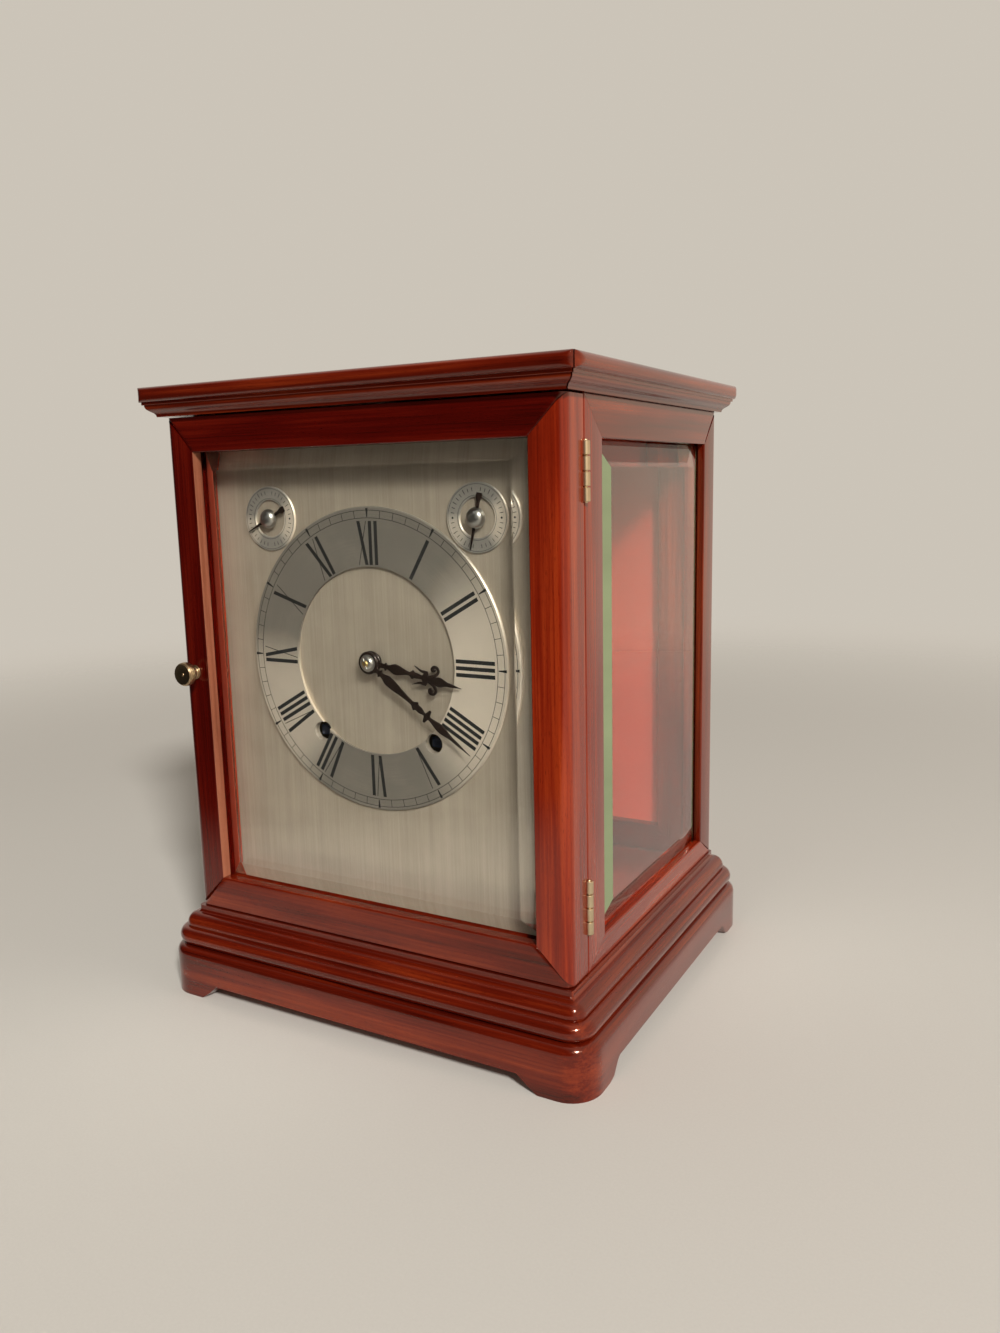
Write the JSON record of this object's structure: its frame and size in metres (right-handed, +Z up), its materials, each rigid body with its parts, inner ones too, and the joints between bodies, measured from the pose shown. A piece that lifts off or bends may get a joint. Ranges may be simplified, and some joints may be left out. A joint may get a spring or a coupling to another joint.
{
  "type": "four glass clock",
  "caption": "Glazed mahogany mantel clock with a moulded cornice and plinth, hinged front and back doors, silvered dial, and a striking movement with pendulum and coil gong.",
  "frame": {"origin": "on the floor under the middle of the plinth", "axes": "+Z up, -Y out of the dial side, +X to the right as seen from the front"},
  "size_m": [0.2362, 0.2136, 0.3],
  "materials": {
    "mahogany": "French polished",
    "seat_wood": "satin",
    "bevelled_glass": "polished",
    "case_brass": "lacquered",
    "movement_brass": "polished",
    "silvered_brass": "silvered, brushed",
    "blued_steel": "blued",
    "bright_steel": "polished",
    "black_iron": "painted black"
  },
  "bodies": {
    "case": {"plinth": "mahogany", "base_moulding": "mahogany", "cornice_front": "mahogany", "cornice_right": "mahogany", "cornice_back": "mahogany", "cornice_left": "mahogany", "top_board": "mahogany", "right_front_stile": "mahogany", "right_rear_stile": "mahogany", "right_top_rail": "mahogany", "right_bottom_rail": "mahogany", "left_front_stile": "mahogany", "left_rear_stile": "mahogany", "left_top_rail": "mahogany", "left_bottom_rail": "mahogany", "right_glass": "bevelled_glass", "left_glass": "bevelled_glass", "case_upper_leaf": "case_brass", "case_lower_leaf": "case_brass", "rear_case_upper_leaf": "case_brass", "rear_case_lower_leaf": "case_brass", "dial_plate": "silvered_brass", "chapter_ring": "silvered_brass", "slow_fast_ring": "silvered_brass", "strike_silent_ring": "silvered_brass", "front_plate": "movement_brass", "back_plate": "movement_brass", "seat_board": "seat_wood", "left_cheek": "seat_wood", "right_cheek": "seat_wood", "gong_coil": "blued_steel", "gong_stand": "black_iron"},
    "front_door": {"door_left_stile": "mahogany", "door_right_stile": "mahogany", "door_top_rail": "mahogany", "door_bottom_rail": "mahogany", "door_glass": "bevelled_glass", "door_knob": "case_brass", "door_upper_leaf": "case_brass", "door_lower_leaf": "case_brass"},
    "back_door": {"back_left_stile": "mahogany", "back_right_stile": "mahogany", "back_top_rail": "mahogany", "back_bottom_rail": "mahogany", "back_glass": "bevelled_glass", "back_knob": "case_brass", "back_upper_leaf": "case_brass", "back_lower_leaf": "case_brass"},
    "minute_work": {"minute_hand": "blued_steel", "hand_collet": "bright_steel", "centre_arbor": "movement_brass"},
    "hour_work": {"hour_hand": "blued_steel"},
    "slow_fast": {"slow_fast_hand": "blued_steel"},
    "strike_silent": {"strike_silent_hand": "blued_steel"},
    "going_drum": {"going_barrel": "movement_brass"},
    "strike_drum": {"strike_barrel": "movement_brass"},
    "going_winder": {"going_winding_arbor": "bright_steel"},
    "strike_winder": {"strike_winding_arbor": "bright_steel"},
    "pendulum_swing": {"pendulum": "movement_brass"},
    "hammer": {"strike_hammer": "bright_steel"}
  },
  "joints": [
    {"name": "front_door_hinge", "type": "hinge", "parent": "case", "child": "front_door", "pos_m": [0.1051, -0.0757, 0.165], "axis": [0, 0, 1], "range_deg": [0, 115]},
    {"name": "back_door_hinge", "type": "hinge", "parent": "case", "child": "back_door", "pos_m": [-0.08875, 0.09385, 0.165], "axis": [0, 0, 1], "range_deg": [0, 110]},
    {"name": "minute_turn", "type": "hinge", "parent": "case", "child": "minute_work", "pos_m": [0, -0.07495, 0.17355], "axis": [0, 1, 0], "continuous": true},
    {"name": "hour_turn", "type": "hinge", "parent": "case", "child": "hour_work", "pos_m": [0, -0.07495, 0.17355], "axis": [0, 1, 0], "continuous": true},
    {"name": "slow_fast_turn", "type": "hinge", "parent": "case", "child": "slow_fast", "pos_m": [-0.05622, -0.07495, 0.23823], "axis": [0, 1, 0], "range_deg": [-50, 50]},
    {"name": "strike_silent_turn", "type": "hinge", "parent": "case", "child": "strike_silent", "pos_m": [0.05622, -0.07495, 0.23823], "axis": [0, 1, 0], "range_deg": [0, 168]},
    {"name": "going_drum_turn", "type": "hinge", "parent": "case", "child": "going_drum", "pos_m": [0.0312, -0.04, 0.13825], "axis": [0, 1, 0], "continuous": true},
    {"name": "strike_drum_turn", "type": "hinge", "parent": "case", "child": "strike_drum", "pos_m": [-0.0312, -0.04, 0.13825], "axis": [0, 1, 0], "continuous": true},
    {"name": "going_winder_turn", "type": "hinge", "parent": "case", "child": "going_winder", "pos_m": [0.0312, -0.04, 0.13825], "axis": [0, 1, 0], "continuous": true},
    {"name": "strike_winder_turn", "type": "hinge", "parent": "case", "child": "strike_winder", "pos_m": [-0.0312, -0.04, 0.13825], "axis": [0, 1, 0], "continuous": true},
    {"name": "pendulum_swing_hinge", "type": "hinge", "parent": "case", "child": "pendulum_swing", "pos_m": [0, 0.00055, 0.23055], "axis": [0, 1, 0], "range_deg": [-4, 4]},
    {"name": "hammer_lift", "type": "hinge", "parent": "case", "child": "hammer", "pos_m": [0.0449, 0, 0.18555], "axis": [0, -1, 0], "range_deg": [0, 12]}
  ],
  "couplings": [
    {"joint": "hour_turn", "follows": "minute_turn", "ratio": 0.083333},
    {"joint": "going_drum_turn", "follows": "minute_turn", "ratio": 0.027778}
  ]
}
